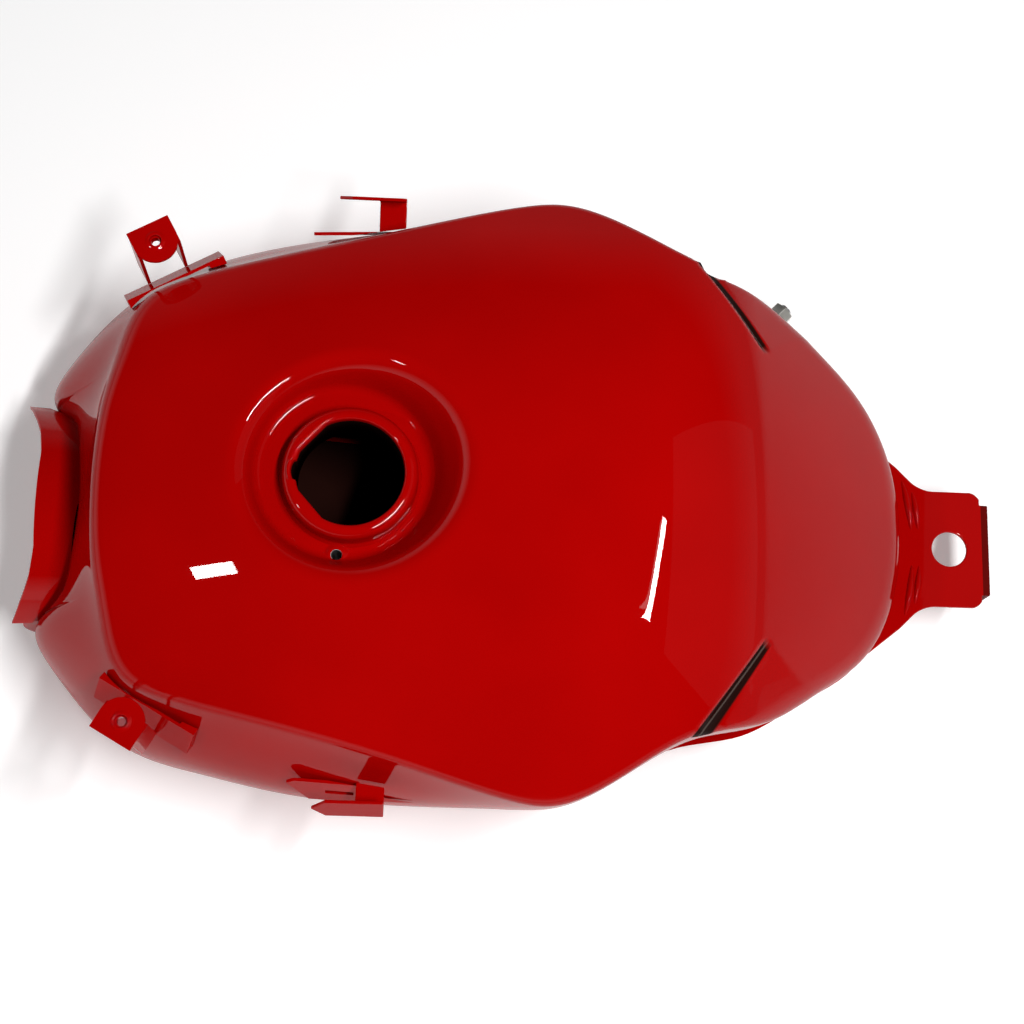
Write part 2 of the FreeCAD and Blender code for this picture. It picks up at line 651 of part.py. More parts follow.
def fuel_tap():
    """The fuel tap under the rear shelf: seat, gasket, body, strainer, lever and outlet."""
    shelf = "shelf_height"
    under = f"{shelf} - tap_gasket - tap_flange"
    node("tap_seat", tap_plate("tap_seat", f"{shelf} + sheet_metal", "tap_boss", "tap_bore + 0.5", 2.5))
    node("tap_gasket", tap_plate("tap_gasket", f"{shelf} - tap_gasket", "tap_gasket", "tap_bore", 3.3))
    flange = tap_plate("tap_flange", under, "tap_flange", 3, 3.3)
    drum_z = f"{under} - tap_body_height"
    drum = cylinder("tap_drum", tap_place(0, 0, drum_z), "tap_body_radius", "tap_body_height")
    axis_z = f"{under} - lever_drop"
    barrel = cylinder("tap_barrel", tap_place(0, 0, axis_z, SIDEWAYS, -90), "lever_hub + 1.5", 18)
    ears = box("tap_ears", tap_place(-17, 12, f"{axis_z} - 4"), 34, 6, 8)
    outlet_z = f"{under} - 12"
    bores = [cylinder("tap_inlet", tap_place(0, 0, outlet_z), 3, 12),
             cylinder("tap_outlet", tap_place(0, 0, outlet_z, Vector(0, 1, 0), 90), "outlet_outer", 20)]
    outlet_boss = cylinder("tap_outlet_boss", tap_place(8, 0, outlet_z, Vector(0, 1, 0), 90), 6.5, 9)
    joined = fused("tap_joined", flange, drum, barrel, ears, outlet_boss)
    node("tap_body", cut("tap_body", joined, fused("tap_bores", *bores)))
    tap_lever(axis_z)
    tap_outlet(outlet_z)
    tap_inside(under)


def tap_lever(axis_z):
    """The turning lever, its retaining plate and the plate's two screws."""
    hub = cylinder("lever_disc", tap_place(0, 18.2, axis_z, SIDEWAYS, -90), "lever_hub", 5)
    neck = cylinder("lever_neck", tap_place(0, 18.2, axis_z, SIDEWAYS, -90), 5, 14)
    handle = box("lever_handle", tap_place(-4.5, 27.3, f"{axis_z} - 21"), 9, 6, 25)
    node("tap_lever", fused("tap_lever", hub, neck, handle))
    plate = box("retainer_strip", tap_place(-17, 23.6, f"{axis_z} - 4"), 34, 1.5, 8)
    disc = cylinder("retainer_disc", tap_place(0, 23.6, axis_z, SIDEWAYS, -90), 11.5, 1.5)
    opening = cylinder("retainer_opening", tap_place(0, 20, axis_z, SIDEWAYS, -90), 5.4, 8)
    holes = [opening]
    spacers = []
    screws = []
    for number, x in enumerate((-14, 14)):
        holes.append(cylinder(f"retainer_hole{number}", tap_place(x, 20, axis_z, SIDEWAYS, -90), 1.6, 8))
        outer = cylinder(f"spacer_outside{number}", tap_place(x, 18, axis_z, SIDEWAYS, -90), 2.8, 5.6)
        inner = cylinder(f"spacer_bore{number}", tap_place(x, 18, axis_z, SIDEWAYS, -90), 1.6, 5.6)
        spacers.append(cut(f"spacer{number}", outer, inner))
        head = cylinder(f"retainer_head{number}", tap_place(x, 25.1, axis_z, SIDEWAYS, -90), 2.8, 1.8)
        shank = cylinder(f"retainer_shank{number}", tap_place(x, 18, axis_z, SIDEWAYS, -90), 1.5, 7.1)
        screws.append(fused(f"retainer_screw{number}", head, shank))
    blank = fused("retainer_solid", plate, disc)
    node("lever_retainer", cut("lever_retainer", blank, fused("retainer_holes", *holes)))
    node("retainer_spacers", group("retainer_spacers", spacers))
    node("retainer_screws", group("retainer_screws", screws))


def group(name, shapes):
    """Keep identical pieces as separate solids of one node."""
    result = doc.addObject("Part::Compound", name)
    result.Links = shapes
    return result


def tap_outlet(outlet_z):
    """The outlet pipe and the union nut at its end."""
    root = tap_place(13, 0, outlet_z, Vector(0, 1, 0), 90)
    pipe = cylinder("outlet_outside", root, "outlet_outer", "outlet_length")
    bore = cylinder("outlet_inside", root, "outlet_bore", "outlet_length")
    node("outlet_pipe", cut("outlet_pipe", pipe, bore))
    start = tap_place("13 + outlet_length - union_length - 2", 0, outlet_z, Vector(0, 1, 0), 90)
    nut = prism("union_hexagon", start, "union_flats / sqrt(3)", "union_length")
    hole = cylinder("union_bore", start, "outlet_outer", "union_length")
    node("union_nut", cut("union_nut", nut, hole))


def tap_inside(under):
    """The standpipe, the strainer round it and the tap's two screws."""
    tube("tap_standpipe", tap_place(0, 0, f"{under} - 8"), 3, 2, 58)
    seat = f"{under} + tap_flange"
    wall = cylinder("strainer_wall", tap_place(0, 0, seat), 6.5, 34)
    space = cylinder("strainer_space", tap_place(0, 0, seat), 5.7, 33)
    hole = cylinder("strainer_hole", tap_place(0, 0, seat), 3, 34)
    node("tap_strainer", cut("tap_strainer", wall, fused("strainer_inside", space, hole)))
    screws = []
    for number, side in enumerate(("", "-")):
        spot = tap_place(0, f"{side}tap_screw_pitch", f"{under} - 4")
        head = prism(f"tap_screw_head{number}", spot, 5.8, 4)
        shank = cylinder(f"tap_screw_shank{number}", spot, 2.45, 15.5)
        screws.append(fused(f"tap_screw{number}", head, shank))
    node("tap_screws", group("tap_screws", screws))


def sender_place(x, y, z, axis=Vector(0, 0, 1), angle=0):
    """Return a placement relative to the level sender's middle."""
    return place(f"sender_x + {x}", f"sender_y + {y}", z, axis, angle)


def stud_spots():
    """Return the four stud positions round the sender."""
    spots = []
    for quarter in range(4):
        angle = math.radians(45 + 90 * quarter)
        x = f"({math.cos(angle):.6f}) * sender_stud_circle"
        y = f"({math.sin(angle):.6f}) * sender_stud_circle"
        spots.append((x, y))
    return spots


def sender_ring(name, bottom, thickness, outer, inner):
    """Return a ring or disc of the sender with its four stud holes."""
    disc = cylinder(name + "_disc", sender_place(0, 0, bottom), outer, thickness)
    holes = []
    if inner:
        holes.append(cylinder(name + "_opening", sender_place(0, 0, bottom), inner, thickness))
    for number, (x, y) in enumerate(stud_spots()):
        holes.append(cylinder(f"{name}_hole{number}", sender_place(x, y, bottom), 2.8, thickness))
    return node(name, cut(name, disc, fused(name + "_holes", *holes)))


def level_sender():
    """The fuel level sender under the rear shelf, with its float arm inside the tank."""
    seat_z = "shelf_height - sender_seat"
    gasket_z = f"{seat_z} - sender_gasket"
    plate_z = f"{gasket_z} - sender_plate"
    sender_ring("sender_seat", seat_z, "sender_seat", "sender_radius + 2", "sender_opening")
    sender_ring("sender_gasket", gasket_z, "sender_gasket", "sender_radius", "sender_opening")
    sender_ring("sender_plate", plate_z, "sender_plate", "sender_radius", 0)
    studs = []
    nuts = []
    for number, (x, y) in enumerate(stud_spots()):
        low = sender_place(x, y, f"{plate_z} - 6")
        studs.append(cylinder(f"stud{number}", low, 2.5, f"shelf_height - ({plate_z}) + 6"))
        spot = sender_place(x, y, f"{plate_z} - 4")
        hexagon = prism(f"nut_hexagon{number}", spot, 4.6, 4)
        thread = cylinder(f"nut_thread{number}", spot, 2.5, 4)
        nuts.append(cut(f"sender_nut{number}", hexagon, thread))
    node("sender_studs", group("sender_studs", studs))
    node("sender_nuts", group("sender_nuts", nuts))
    top = f"{plate_z} + sender_plate"
    stem = box("sender_stem", sender_place(-6, -6, top), 2, 10, f"pivot_z + 10 - ({top})")
    node("sender_stem", stem)
    corner = sender_place(-4, -6, "pivot_z - 12")
    node("sender_housing", box("sender_housing", corner, "pivot_forward + 8", 10, 24))
    corner = sender_place(-9, -7, f"{plate_z} - 12")
    node("sender_connector", box("sender_connector", corner, 18, 14, 12))
    pivot = sender_place("pivot_forward", 4, "pivot_z", SIDEWAYS, -90)
    node("float_pivot", cylinder("float_pivot", pivot, 1.5, 8))
    float_arm()


def float_arm():
    """The float arm with its hub, and the float at its end."""
    pivot = sender_place("pivot_forward", 4.3, "pivot_z", SIDEWAYS, -90)
    hub = cylinder("arm_hub", pivot, 4, 6)
    hole = cylinder("arm_hub_bore", pivot, 1.55, 6)
    angle = math.degrees(math.atan2(size("arm_reach"), -size("arm_drop")))
    start = sender_place("pivot_forward", 7.3, "pivot_z", Vector(0, 1, 0), angle)
    wire = cylinder("arm_rod", start.multiply(Placement(Vector(0, 0, 3), Rotation())), "arm_wire",
                    "sqrt(arm_reach ^ 2 + arm_drop ^ 2) - 3")
    node("float_arm", cut("float_arm", fused("arm_joined", hub, wire), hole))
    tip_y = "7.3 - float_length / 2"
    end = sender_place("pivot_forward + arm_reach", tip_y, "pivot_z - arm_drop", SIDEWAYS, -90)
    body = cylinder("float_outside", end, "float_radius", "float_length")
    keep = cylinder("float_socket", start, "arm_wire", "sqrt(arm_reach ^ 2 + arm_drop ^ 2)")
    node("sender_float", cut("sender_float", body, keep))


top_shell()
lower_shell()
arch_lip()
filler_neck()
inner_tubes()
rear_bracket()
cowl_brackets()
hook_brackets()
front_guides()
fuel_tap()
level_sender()
doc.recompute()

for item in doc.Objects:
    if "Invalid" in item.State or "Error" in item.State:
        raise RuntimeError(f"{item.Name} failed: {item.State}")
os.makedirs("parts", exist_ok=True)
for item in NODES:
    shape = item.Shape
    if shape.isNull() or not shape.isValid() or shape.Volume <= 0:
        raise RuntimeError(f"{item.Label} has no valid shape")
    shape.exportStep(f"parts/{item.Label}.step")
    limits = shape.BoundBox
    spans = f"x {limits.XMin:.1f} {limits.XMax:.1f} y {limits.YMin:.1f} {limits.YMax:.1f}"
    spans += f" z {limits.ZMin:.1f} {limits.ZMax:.1f}"
    print(f"{item.Label}: {len(shape.Solids)} solids, {shape.Volume:.0f} mm3, {spans}")
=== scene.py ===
import json
import math

import bmesh
import bpy
import numpy as np
from mathutils import Matrix, Vector


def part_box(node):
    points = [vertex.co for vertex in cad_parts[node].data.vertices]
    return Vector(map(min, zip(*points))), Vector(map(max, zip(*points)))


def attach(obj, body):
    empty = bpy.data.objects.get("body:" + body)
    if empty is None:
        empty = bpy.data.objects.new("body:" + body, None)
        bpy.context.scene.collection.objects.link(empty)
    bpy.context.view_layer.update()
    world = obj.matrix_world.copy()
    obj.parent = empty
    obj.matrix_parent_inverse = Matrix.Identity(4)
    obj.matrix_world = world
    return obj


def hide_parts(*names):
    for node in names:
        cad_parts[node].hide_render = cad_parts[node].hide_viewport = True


# A red motorcycle fuel tank. The shapes are worked out in millimetres, with +X to the front of
# the motorcycle, +Y to the rider's left and +Z up, and turned into metres in mesh_piece.
MM = 0.001

# Half outlines of the wall, front to rear, for the heights given.
OUTLINES = {
    0: [(240, 0), (243, 35), (248, 54), (262, 66), (256, 88), (240, 107), (216, 121),
        (172, 137), (116, 145), (60, 146), (5, 143), (-22, 139), (-42, 134),
        (-100, 112), (-141, 106), (-174, 89), (-201, 71), (-216, 42), (-223, 0)],
    75: [(263, 0), (264, 35), (268, 54), (286, 67), (277, 91), (260, 112), (237, 135),
         (183, 155), (121, 166), (60, 168), (5, 166.5), (-22, 163.5), (-42, 157),
         (-100, 127), (-141, 118), (-177, 97), (-208, 76), (-226, 45), (-233, 0)],
    115: [(258, 0), (260, 35), (262, 54), (267, 67), (261, 90), (247, 111), (228, 129),
          (182, 152), (121, 167), (60, 173), (5, 174), (-22, 172.5), (-41, 165.5),
          (-100, 131.5), (-141, 122.5), (-177, 101.5), (-208, 80), (-229, 46.5), (-237, 0)],
    175: [(242, 0), (240, 35), (237, 52), (232, 70), (224, 95), (214, 111), (200, 118),
          (160, 130), (110, 144), (55, 159), (0, 174), (-22, 176), (-40, 170),
          (-100, 135.5), (-141, 125), (-177, 103.5), (-208, 81.5), (-229, 48), (-238, 0)],
}
TOP_OF_WALL = 240
WALL_LEAN = 5

# the top
RIDGE_TOP = 230
CREST_X = -65
FRONT_SWEEP = 906
TAIL_SWEEP = 100
TAIL_SLOPE = math.radians(43.5)
CROWN_RADIUS = 300

# the bottom and the tunnel
SHELF_HEIGHT = 66
RAMP_FRONT = -28
RAMP_REAR = -72
TUNNEL_FRONT = (310, 66, 115)
TUNNEL_REAR = (-270, 38, 79)
TUNNEL_RISE = 0.67

# the filler recess
NECK_X = 97
FLOOR_Z = 188
FLOOR_RADIUS = 49
RIM_RADIUS = 70
RIM_BEND = 9
BASE_BEND = 4
RECESS_INNER = 34
SADDLE_RADIUS = 84
RECESS_SHIFT = np.array((4.0, -3.0))
NECK_HOLE = 30
NECK_OUTER = 37.5
NECK_TOP = 204
NECK_BOTTOM = 172
NECK_COLUMNS = 192
DRAIN = (103, 44)
DRAIN_RADIUS = 3.2
DRAIN_COLLAR = 1.6

# the hole of the neck: its two flats, the notch for the latch and the part of its bore painted near black
# as painted shade
FLAT_REACH = 28.2
FLAT_ANGLE = math.radians(42)
FLAT_END = math.radians(62)
NOTCH_HALF = 5.5
NOTCH_REACH = 32.5
BORE_SHADE_RADIUS = 32.8
BORE_SHADE_TOP = NECK_TOP - 4.5

# the knee grooves, from their outer to their inner end, with the width of each side of the
# valley at the start and its change along the groove
GROOVE_START = np.array((-94.0, 143.0))
GROOVE_END = np.array((-136.0, 84.0))
GROOVE_AHEAD = (3.5, -1.5)
GROOVE_BEHIND = (8.0, -4.5)
SHOULDER_DROP = 15

# the shell's metal, and the rows and columns of its mesh
SHEET_METAL = 1.2
COLUMNS = 720
WALL_ROWS = 60
DOME_ROWS = 130
BEND_ROWS = 9

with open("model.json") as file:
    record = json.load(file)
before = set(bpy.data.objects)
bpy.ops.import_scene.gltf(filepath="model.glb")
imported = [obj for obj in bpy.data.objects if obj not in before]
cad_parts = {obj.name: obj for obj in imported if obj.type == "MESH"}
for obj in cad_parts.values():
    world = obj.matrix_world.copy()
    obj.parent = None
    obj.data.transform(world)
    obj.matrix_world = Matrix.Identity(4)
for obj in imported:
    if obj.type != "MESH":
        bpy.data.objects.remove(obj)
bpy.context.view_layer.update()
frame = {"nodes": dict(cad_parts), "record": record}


def mirrored(half):
    """Close a half outline with its mirror image across the tank's middle plane."""
    return np.array(half + [(x, -y) for x, y in reversed(half[1:-1])], float)


def loop_through(points, knots, spots):
    """Return a smooth closed curve through points, which lie at the knots, read at the spots."""
    count = len(points)
    steps = np.diff(np.append(knots, 1.0))
    slopes = (np.roll(points, -1, axis=0) - points) / steps[:, None]
    table = np.zeros((count, count))
    for index in range(count):
        table[index, index - 1] += steps[index - 1]
        table[index, index] += 2 * (steps[index - 1] + steps[index])
        table[index, (index + 1) % count] += steps[index]
    bends = np.linalg.solve(table, 6 * (slopes - np.roll(slopes, 1, axis=0)))
    spans = np.clip(np.searchsorted(knots, spots, side="right") - 1, 0, count - 1)
    after = (spans + 1) % count
    width = steps[spans][:, None]
    right = spots[:, None] - knots[spans][:, None]
    left = width - right
    curve = points[spans] * left / width + points[after] * right / width
    curve += bends[spans] * (left ** 3 / width - width * left) / 6
    curve += bends[after] * (right ** 3 / width - width * right) / 6
    return curve


def smoothed(loop, reach):
    """Average a closed curve's samples with their neighbours."""
    offsets = np.arange(-3 * reach, 3 * reach + 1)
    weights = np.exp(-0.5 * (offsets / reach) ** 2)
    weights /= weights.sum()
    return sum(weight * np.roll(loop, offset, axis=0) for weight, offset in zip(weights, offsets))


class Wall:
    """The tank's side wall: one column of points at each of COLUMNS places round it."""

    def __init__(self):
        self.heights = np.array(list(OUTLINES) + [TOP_OF_WALL], float)
        halves = [mirrored(half) for half in OUTLINES.values()]
        lengths = [np.hypot(*(np.roll(half, -1, axis=0) - half).T) for half in halves]
        share = np.mean([length / length.sum() for length in lengths], axis=0)
        knots = np.concatenate(([0.0], np.cumsum(share)[:-1]))
        spots = np.arange(COLUMNS) / COLUMNS
        loops = [smoothed(loop_through(half, knots, spots), 4) for half in halves]
        along = np.roll(loops[-1], -1, axis=0) - np.roll(loops[-1], 1, axis=0)
        outward = np.column_stack((along[:, 1], -along[:, 0]))
        outward /= np.linalg.norm(outward, axis=1)[:, None]
        loops.append(loops[-1] - outward * WALL_LEAN)
        self.loops = np.array(loops)
        self.bends = self.find_bends()

    def find_bends(self):
        """Return the second derivatives of a natural cubic spline up each column."""
        steps = np.diff(self.heights)
        count = len(self.heights)
        table = np.eye(count)
        right_side = np.zeros_like(self.loops)
        for index in range(1, count - 1):
            table[index, index - 1:index + 2] = (steps[index - 1], 2 * (steps[index - 1] + steps[index]),
                                                 steps[index])
            rise = (self.loops[index + 1] - self.loops[index]) / steps[index]
            fall = (self.loops[index] - self.loops[index - 1]) / steps[index - 1]
            right_side[index] = 6 * (rise - fall)
        return np.linalg.solve(table, right_side.reshape(count, -1)).reshape(right_side.shape)

    def at(self, height):
        """Return the (x, y) of every column at its own height."""
        height = np.broadcast_to(height, (COLUMNS,))
        span = np.clip(np.searchsorted(self.heights, height, side="right") - 1, 0, len(self.heights) - 2)
        column = np.arange(COLUMNS)
        width = (self.heights[span + 1] - self.heights[span])[:, None]
        right = (height - self.heights[span])[:, None]
        left = width - right
        place = (self.loops[span, column] * left + self.loops[span + 1, column] * right) / width
        place += self.bends[span, column] * (left ** 3 / width - width * left) / 6
        place += self.bends[span + 1, column] * (right ** 3 / width - width * right) / 6
        return place

    def points(self, height):
        """Return the 3-D points of every column at its own height."""
        place = self.at(height)
        return np.column_stack((place, np.broadcast_to(height, (COLUMNS,))))


def ridge_height(x):
    """Return the height of the top along the tank's middle plane."""
    behind = CREST_X - x
    bend = TAIL_SWEEP * math.sin(TAIL_SLOPE)
    ahead = RIDGE_TOP - behind ** 2 / (2 * FRONT_SWEEP)
    curved = RIDGE_TOP - TAIL_SWEEP + np.sqrt(TAIL_SWEEP ** 2 - np.clip(behind, 0, bend) ** 2)
    straight = RIDGE_TOP - TAIL_SWEEP * (1 - math.cos(TAIL_SLOPE)) - (behind - bend) * math.tan(TAIL_SLOPE)
    return np.where(behind <= 0, ahead, np.where(behind <= bend, curved, straight))


def eased(value):
    """Return a smooth step from 0 to 1."""
    value = np.clip(value, 0, 1)
    return value * value * (3 - 2 * value)


def groove_place(x, y):
    """Return how far along a groove a point lies, from 0 to 1, and its distance behind it."""
    run = GROOVE_END - GROOVE_START
    length = np.linalg.norm(run)
    dx = x - GROOVE_START[0]
    dy = np.abs(y) - GROOVE_START[1]
    along = (dx * run[0] + dy * run[1]) / length ** 2
    behind = (dx * run[1] - dy * run[0]) / length
    return along, behind


def groove_depth(x, y):
    """Return the depth of the knee grooves."""
    along, behind = groove_place(x, y)
    tip = eased((1.03 - along) / 0.12)
    inner = GROOVE_AHEAD[0] + GROOVE_AHEAD[1] * np.clip(along, 0, 1)
    outer = GROOVE_BEHIND[0] + GROOVE_BEHIND[1] * np.clip(along, 0, 1)
    side = np.where(behind < 0, 1 + behind / inner, 1 - behind / outer)
    near = np.clip(side, 0, 1)
    deep = 6.5 - 2.5 * np.clip(along, 0, 1)
    return deep * tip * (near * near * (3 - 2 * near) * 0.4 + near * 0.6)


def top_height(x, y):
    """Return the height of the tank's top, with its grooves and the shoulders behind them."""
    height = ridge_height(x) - CROWN_RADIUS + np.sqrt(CROWN_RADIUS ** 2 - y ** 2)
    along, behind = groove_place(x, y)
    shoulder = SHOULDER_DROP * np.clip(1 - along, 0, 1.3) * eased((behind + 2) / 8)
    return height - shoulder - groove_depth(x, y)


def tunnel_roof(x, y):
    """Return the height of the tunnel's roof, or a very low value outside the tunnel."""
    part = (x - TUNNEL_REAR[0]) / (TUNNEL_FRONT[0] - TUNNEL_REAR[0])
    half = TUNNEL_REAR[1] + part * (TUNNEL_FRONT[1] - TUNNEL_REAR[1])
    top = TUNNEL_REAR[2] + part * (TUNNEL_FRONT[2] - TUNNEL_REAR[2])
    rise = TUNNEL_RISE * half
    radius = (half ** 2 + rise ** 2) / (2 * rise)
    roof = top - radius + np.sqrt(np.maximum(radius ** 2 - y ** 2, 0))
    return np.where(np.abs(y) < half, roof, -1000.0)


def bottom_height(x, y):
    """Return the height of the tank's bottom, the tunnel's roof included."""
    ramp = SHELF_HEIGHT * np.clip((RAMP_FRONT - x) / (RAMP_FRONT - RAMP_REAR), 0, 1)
    return np.maximum(ramp, tunnel_roof(x, y))


def settled(guess, rule, rounds=40):
    """Repeat a rule that gives a better height from a height until it settles."""
    height = np.full(COLUMNS, float(guess))
    for _ in range(rounds):
        height = 0.5 * height + 0.5 * rule(height)
    return height


def unit(vectors):
    """Return vectors with length 1."""
    return vectors / np.linalg.norm(vectors, axis=1)[:, None]


def bend_between(start, start_way, end, end_way, rows):
    """Return rows of points that turn from one direction to another like a fillet."""
    gap = np.linalg.norm(end - start, axis=1)[:, None]
    turn = np.arccos(np.clip(np.sum(start_way * end_way, axis=1), -1, 1))[:, None]
    reach = gap / (2 * np.maximum(np.sin(turn / 2), 0.05)) * (4 / 3) * np.tan(turn / 4)
    first = start + start_way * reach
    second = end - end_way * reach
    made = []
    for part in np.linspace(0, 1, rows + 2)[1:-1]:
        rest = 1 - part
        made.append(rest ** 3 * start + 3 * rest ** 2 * part * first
                    + 3 * rest * part ** 2 * second + part ** 3 * end)
    return made


def crease_bend(place):
    """Return the radius of the crease round the top at each column."""
    x, y = place.T
    front = 3 * eased((x - 190) / 40)
    rear = 8 * eased((-110 - x) / 60)
    return 4 + front + rear


def on_top(place):
    """Lift (x, y) places onto the top."""
    return np.column_stack((place, top_height(*place.T)))


def shell_grid():
    """Return the rows of points of the painted shell, from its lower edge to the filler neck."""
    wall = Wall()
    crease = settled(180, lambda height: top_height(*wall.at(height).T))
    edge = settled(60, lambda height: bottom_height(*wall.at(height).T))
    neck = np.array((NECK_X, 0.0)) + RECESS_SHIFT
    corner = wall.at(crease)
    inward = unit(neck - corner)
    bend = crease_bend(corner)
    wall_end = crease - bend
    dome_start = corner + inward * bend[:, None]
    rows = [wall.points(edge + (wall_end - edge) * part) for part in np.linspace(0, 1, WALL_ROWS)]
    start_way = unit(wall.points(wall_end) - wall.points(wall_end - 1))
    end_way = unit(on_top(dome_start + inward) - on_top(dome_start))
    rows += bend_between(rows[-1], start_way, on_top(dome_start), end_way, BEND_ROWS)
    saddle = neck - inward * SADDLE_RADIUS
    for part in np.linspace(0, 1, DOME_ROWS):
        rows.append(on_top(dome_start + (saddle - dome_start) * part))
    rows += recess_rows(neck, inward)
    return np.array(rows)


def recess_rows(neck, inward):
    """Return the rows from the dome round the recess down to the neck."""
    lean = (RIM_RADIUS - FLOOR_RADIUS) / (RIDGE_TOP - FLOOR_Z)
    radius = np.full(COLUMNS, float(RIM_RADIUS))
    for _ in range(20):
        place = neck - inward * radius[:, None]
        radius = FLOOR_RADIUS + lean * (top_height(*place.T) - FLOOR_Z)

    def spot(away, height):
        place = neck - inward * np.broadcast_to(away, (COLUMNS,))[:, None]
        return np.column_stack((place, np.broadcast_to(height, (COLUMNS,))))

    rows = []
    rim_start = radius + RIM_BEND
    for part in np.linspace(0, 1, 8)[1:]:
        rows.append(on_top(neck - inward * (SADDLE_RADIUS + (rim_start - SADDLE_RADIUS) * part)[:, None]))
    top = top_height(*(neck - inward * radius[:, None]).T)
    wall_top = top - RIM_BEND
    wall_low = np.full(COLUMNS, FLOOR_Z + BASE_BEND, float)
    wall_high = np.maximum(wall_top, wall_low + 0.5)
    down = unit(spot(radius - lean, top - 1) - spot(radius, top))
    flat = np.column_stack((inward, np.zeros(COLUMNS)))
    high = spot(FLOOR_RADIUS + lean * (wall_high - FLOOR_Z), wall_high)
    low = spot(FLOOR_RADIUS + lean * (wall_low - FLOOR_Z), wall_low)
    way_in = unit(rows[-1] - rows[-2])
    rows += bend_between(rows[-1], way_in, high, down, BEND_ROWS)
    rows += [high + (low - high) * part for part in np.linspace(0, 1, 8)]
    floor_start = spot(FLOOR_RADIUS - BASE_BEND, FLOOR_Z)
    rows += bend_between(low, down, floor_start, flat, 14)
    for part in np.linspace(0, 1, 22):
        row = spot(FLOOR_RADIUS - BASE_BEND + (RECESS_INNER - FLOOR_RADIUS + BASE_BEND) * part, FLOOR_Z)
        row[:, :2] -= RECESS_SHIFT * part
        rows.append(row)
    return [drain_collar(row) for row in rows]


def drain_collar(row):
    """Raise the floor into a small collar round the drain hole, and round the hole's edge."""
    away = row[:, :2] - np.array(DRAIN)
    distance = np.linalg.norm(away, axis=1)
    near = (np.abs(distance - DRAIN_RADIUS) < 0.35) & (row[:, 2] < FLOOR_Z + 4)
    row[near, :2] += away[near] * (DRAIN_RADIUS / distance[near] - 1)[:, None]
    collar = DRAIN_COLLAR * eased((7.5 - distance) / 4)
    row[:, 2] = np.where(row[:, 2] < FLOOR_Z + 6, np.maximum(row[:, 2], FLOOR_Z + collar), row[:, 2])
    return row


def mesh_piece(name, points, faces, body="tank"):
    """Make a smooth-shaded mesh object from points in millimetres."""
    mesh = bpy.data.meshes.new(name)
    mesh.from_pydata([tuple(MM * value for value in point) for point in points], [], faces)
    mesh.polygons.foreach_set("use_smooth", [True] * len(mesh.polygons))
    mesh.update()
    piece = bpy.data.objects.new(name, mesh)
    bpy.context.collection.objects.link(piece)
    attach(piece, body)
    return piece


def ring_faces(rows, columns):
    """Return the faces of a grid whose rows are closed rings."""
    faces = []
    for row in range(rows - 1):
        for column in range(columns):
            after = (column + 1) % columns
            faces.append((row * columns + column, row * columns + after,
                          (row + 1) * columns + after, (row + 1) * columns + column))
    return faces


def over_drain(points, face):
    """Tell whether a face of the shell lies over the drain hole."""
    middle = points[list(face)].mean(axis=0)
    inside = math.hypot(middle[0] - DRAIN[0], middle[1] - DRAIN[1]) < DRAIN_RADIUS - 0.05
    return inside and middle[2] < FLOOR_Z + 6


def painted_shell(paint):
    """The painted upper pressing, with its creases, grooves and filler recess."""
    grid = shell_grid()
    points = grid.reshape(-1, 3)
    faces = [face for face in ring_faces(len(grid), COLUMNS) if not over_drain(points, face)]
    piece = mesh_piece("painted_shell", points, faces)
    marks = piece.data.attributes.new("on_top", "FLOAT", "POINT")
    on_dome = points[:, 2] > top_height(points[:, 0], points[:, 1]) - 6
    marks.data.foreach_set("value", on_dome.astype(np.float32))
    thick = piece.modifiers.new("sheet_metal", "SOLIDIFY")
    thick.thickness = SHEET_METAL * MM
    thick.offset = -1
    piece.data.materials.append(paint)
    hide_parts("top_shell")


def material(name, color, metallic, roughness):
    """Return a new material, its node tree and its shader."""
    made = bpy.data.materials.new(name)
    made.use_nodes = True
    shader = made.node_tree.nodes["Principled BSDF"]
    shader.inputs["Base Color"].default_value = (*color, 1)
    shader.inputs["Metallic"].default_value = metallic
    shader.inputs["Roughness"].default_value = roughness
    return made, made.node_tree, shader


def noise(tree, scale, detail=3):
    """Add a noise texture in the object's own coordinates."""
    place = tree.nodes.new("ShaderNodeTexCoord")
    texture = tree.nodes.new("ShaderNodeTexNoise")
    texture.inputs["Scale"].default_value = scale
    texture.inputs["Detail"].default_value = detail
    tree.links.new(place.outputs["Object"], texture.inputs["Vector"])
    return texture


def ramp(tree, source, low, high, first, last):
    """Add a colour ramp from one grey or colour to another."""
    node = tree.nodes.new("ShaderNodeValToRGB")
    node.color_ramp.elements[0].position = low
    node.color_ramp.elements[0].color = first
    node.color_ramp.elements[1].position = high
    node.color_ramp.elements[1].color = last
    tree.links.new(source, node.inputs["Fac"])
    return node


def bump(tree, shader, source, strength, distance):
    """Give a shader a bump from a texture's height."""
    node = tree.nodes.new("ShaderNodeBump")
    node.inputs["Strength"].default_value = strength
    node.inputs["Distance"].default_value = distance * MM
    tree.links.new(source, node.inputs["Height"])
    tree.links.new(node.outputs["Normal"], shader.inputs["Normal"])


def number(tree, kind, first, second=0.0, third=0.0):
    """Add a maths node whose inputs are outputs of other nodes or plain numbers."""
    node = tree.nodes.new("ShaderNodeMath")
    node.operation = kind
    for socket, value in zip(node.inputs, (first, second, third)):
        if isinstance(value, float):
            socket.default_value = value
        else:
            tree.links.new(value, socket)
    return node.outputs["Value"]


def parts_of(tree, kind):
    """Return the X, Y and Z outputs of one kind of texture coordinates."""
    place = tree.nodes.new("ShaderNodeTexCoord")
    split = tree.nodes.new("ShaderNodeSeparateXYZ")
    tree.links.new(place.outputs[kind], split.inputs["Vector"])
    return split.outputs


